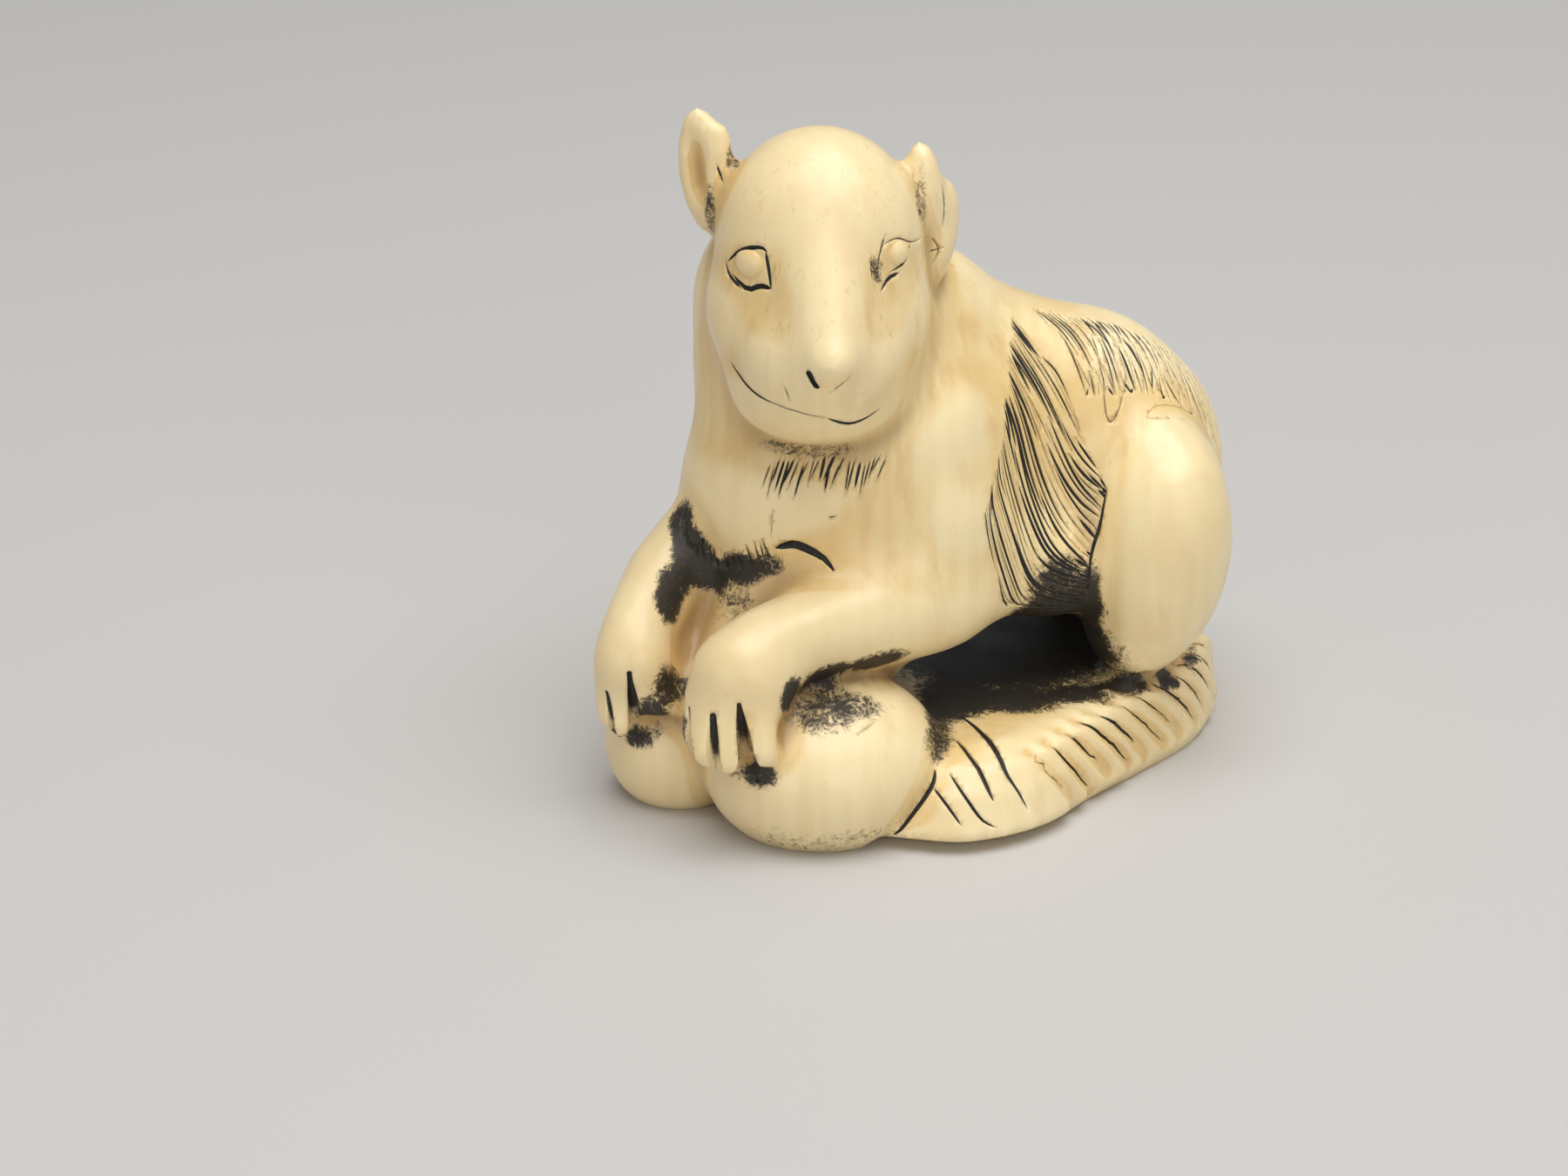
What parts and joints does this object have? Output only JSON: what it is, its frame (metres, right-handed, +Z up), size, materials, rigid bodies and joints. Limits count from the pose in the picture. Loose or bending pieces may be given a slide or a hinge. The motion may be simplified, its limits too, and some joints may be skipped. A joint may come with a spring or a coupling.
{
  "type": "netsuke",
  "caption": "Carved ivory toggle: a crouching rat with its paws on two smooth stones, on a low ribbed plinth, with a cord passage under its belly.",
  "frame": {"origin": "middle of the underside, on the surface the piece stands on", "axes": "+Z up, the rat's face looks along -Y, its rump lies towards +X"},
  "size_m": [0.0402, 0.0338, 0.0423],
  "materials": {
    "ivory": "hand-polished aged ivory, satin to soft gloss, with black stain rubbed into the engraved lines and hollows"
  },
  "bodies": {
    "root": {"rat_netsuke": "ivory"}
  },
  "joints": []
}
